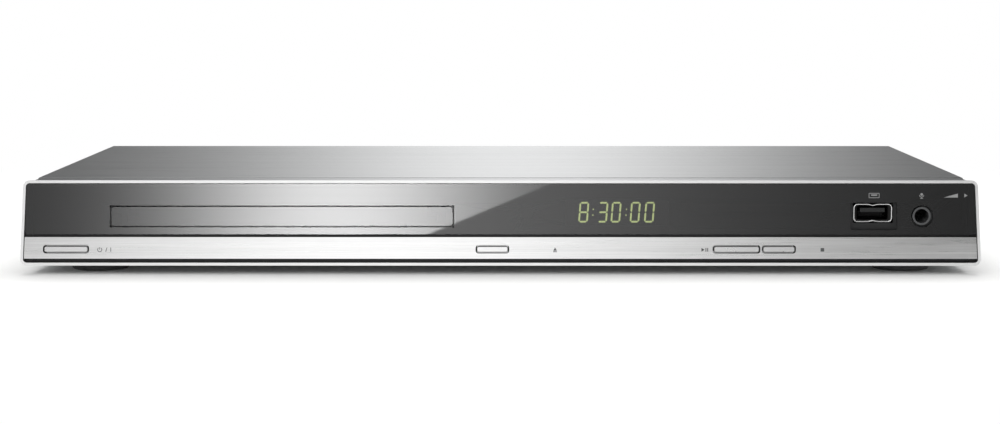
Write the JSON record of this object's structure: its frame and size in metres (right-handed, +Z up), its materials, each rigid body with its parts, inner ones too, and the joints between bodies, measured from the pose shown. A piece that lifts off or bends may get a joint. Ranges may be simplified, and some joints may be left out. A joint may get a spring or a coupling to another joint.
{
  "type": "dvd player with tray",
  "caption": "Slim disc player with a motor-driven tray, smoked display window, brushed trim with push buttons, microphone and data sockets, and rear phono jacks and mains inlet",
  "frame": {"origin": "on the table under the middle of the player, at the bottom centre of its box", "axes": "+X to the right seen from the front, +Y to the back, +Z up"},
  "size_m": [0.4352, 0.216, 0.0425],
  "materials": {
    "galvanised_steel": "satin",
    "cover_steel": "brushed",
    "black_steel": "satin",
    "screw_steel": "plated",
    "rod_steel": "ground",
    "foot_rubber": "moulded",
    "silver_plastic": "satin",
    "window_acrylic": "polished",
    "brushed_aluminium": "brushed",
    "button_silver": "satin",
    "black_plastic": "moulded",
    "board": "satin",
    "chip_epoxy": "moulded",
    "display_glass": "polished",
    "nickel_shell": "plated",
    "jack_colours": "moulded",
    "loader_abs": "moulded",
    "tray_abs": "moulded",
    "acetal": "moulded",
    "ring_rubber": "moulded",
    "motor_can": "plated",
    "pickup_zinc": "cast",
    "lens_glass": "polished",
    "capacitor_sleeve": "satin",
    "ferrite": "ground",
    "sink_aluminium": "extruded"
  },
  "bodies": {
    "base": {"bottom_chassis": "galvanised_steel", "rear_panel": "black_steel", "top_cover": "cover_steel", "case_screws": "screw_steel", "feet": "foot_rubber", "front_bezel": "silver_plastic", "display_window": "window_acrylic", "trim_strip": "brushed_aluminium", "front_carrier": "black_plastic", "tact_switches": "chip_epoxy", "front_pcb": "board", "standby_pcb": "board", "display_tube": "display_glass", "ir_receiver": "chip_epoxy", "io_pcb": "board", "port_shell": "nickel_shell", "port_tongue": "black_plastic", "mic_jack": "black_plastic", "level_pot": "chip_epoxy", "loader_frame": "loader_abs", "loading_motor": "motor_can", "drive_belt": "ring_rubber", "loader_screws": "screw_steel", "clamp_bridge": "galvanised_steel", "main_pcb": "board", "power_pcb": "board", "pcb_screws": "screw_steel", "main_ics": "chip_epoxy", "capacitors": "capacitor_sleeve", "av_jack_block": "black_plastic", "av_jack_sleeves": "nickel_shell", "av_jack_rings": "jack_colours", "mains_inlet": "black_plastic", "inlet_pins": "nickel_shell", "transformer": "ferrite", "heat_sink": "sink_aluminium"},
    "tray": {"disc_tray": "tray_abs", "tray_door": "window_acrylic"},
    "drive_gear": {"drive_gear": "acetal"},
    "pulley_gear": {"pulley_gear": "acetal"},
    "motor_pulley": {"motor_pulley": "acetal"},
    "cam_slider": {"cam_slider": "acetal"},
    "disc_unit": {"traverse_chassis": "loader_abs", "spindle_motor": "motor_can", "guide_rods": "rod_steel", "sled_motor": "motor_can"},
    "turntable": {"turntable": "acetal", "turntable_ring": "ring_rubber"},
    "disc_clamp": {"disc_clamp": "acetal", "clamp_yoke": "rod_steel"},
    "pickup": {"optical_pickup": "pickup_zinc", "pickup_lens": "lens_glass"},
    "sled_gear": {"sled_gear": "acetal"},
    "sled_pinion": {"sled_pinion": "acetal"},
    "standby_button": {"standby_button": "button_silver"},
    "open_close_button": {"open_close_button": "button_silver"},
    "play_pause_button": {"play_pause_button": "button_silver"},
    "stop_button": {"stop_button": "button_silver"},
    "level_dial": {"level_dial": "black_plastic"}
  },
  "joints": [
    {"name": "tray_slide", "type": "slide", "parent": "base", "child": "tray", "axis": [0, -1, 0], "range_m": [0, 0.136]},
    {"name": "drive_gear_spin", "type": "hinge", "parent": "base", "child": "drive_gear", "pos_m": [-0.0519, -0.078, 0.014], "axis": [0, 0, 1], "range_deg": [-1113.18, 0]},
    {"name": "pulley_gear_spin", "type": "hinge", "parent": "base", "child": "pulley_gear", "pos_m": [-0.06982, -0.08116, 0.014], "axis": [0, 0, 1], "range_deg": [0, 3710.59]},
    {"name": "motor_pulley_spin", "type": "hinge", "parent": "base", "child": "motor_pulley", "pos_m": [-0.10382, -0.08116, 0.0188], "axis": [0, 0, 1], "range_deg": [0, 12191.92]},
    {"name": "disc_unit_lift", "type": "hinge", "parent": "base", "child": "disc_unit", "pos_m": [-0.0989, 0.066, 0.018], "axis": [-1, 0, 0], "range_deg": [0, 4.2]},
    {"name": "cam_slide", "type": "slide", "parent": "base", "child": "cam_slider", "axis": [1, 0, 0], "range_m": [0, 0.022]},
    {"name": "turntable_spin", "type": "hinge", "parent": "disc_unit", "child": "turntable", "pos_m": [-0.0989, -0.0336, 0.02252], "axis": [0, -0.0732, 0.9973], "continuous": true},
    {"name": "disc_clamp_spin", "type": "hinge", "parent": "base", "child": "disc_clamp", "pos_m": [-0.0989, -0.033, 0.034], "axis": [0, 0, 1], "continuous": true},
    {"name": "pickup_slide", "type": "slide", "parent": "disc_unit", "child": "pickup", "axis": [0, 0.9973, 0.0732], "range_m": [0, 0.034]},
    {"name": "sled_gear_spin", "type": "hinge", "parent": "disc_unit", "child": "sled_gear", "pos_m": [-0.0639, 0.00716, 0.01368], "axis": [0, -0.0732, 0.9973], "range_deg": [-487.02, 0]},
    {"name": "sled_pinion_spin", "type": "hinge", "parent": "disc_unit", "child": "sled_pinion", "pos_m": [-0.05747, 0.0148, 0.01424], "axis": [0, -0.0732, 0.9973], "range_deg": [0, 1461.05]},
    {"name": "standby_press", "type": "slide", "parent": "base", "child": "standby_button", "axis": [0, 0.9962, -0.0872], "range_m": [0, 0.0007], "stiffness_N_per_m": 800},
    {"name": "open_close_press", "type": "slide", "parent": "base", "child": "open_close_button", "axis": [0, 0.9962, -0.0872], "range_m": [0, 0.0007], "stiffness_N_per_m": 800},
    {"name": "play_pause_press", "type": "slide", "parent": "base", "child": "play_pause_button", "axis": [0, 0.9962, -0.0872], "range_m": [0, 0.0007], "stiffness_N_per_m": 800},
    {"name": "stop_press", "type": "slide", "parent": "base", "child": "stop_button", "axis": [0, 0.9962, -0.0872], "range_m": [0, 0.0007], "stiffness_N_per_m": 800},
    {"name": "level_turn", "type": "hinge", "parent": "base", "child": "level_dial", "pos_m": [0.208, -0.093, 0.0234], "axis": [0, 0, 1], "range_deg": [-140, 140]}
  ],
  "couplings": [
    {"joint": "drive_gear_spin", "follows": "tray_slide", "rad_per_m": -142.86},
    {"joint": "pulley_gear_spin", "follows": "tray_slide", "rad_per_m": 476.19},
    {"joint": "motor_pulley_spin", "follows": "tray_slide", "rad_per_m": 1564.6},
    {"joint": "cam_slide", "follows": "disc_unit_lift", "m_per_rad": 0.30012},
    {"joint": "sled_gear_spin", "follows": "pickup_slide", "rad_per_m": -250},
    {"joint": "sled_pinion_spin", "follows": "pickup_slide", "rad_per_m": 750}
  ]
}
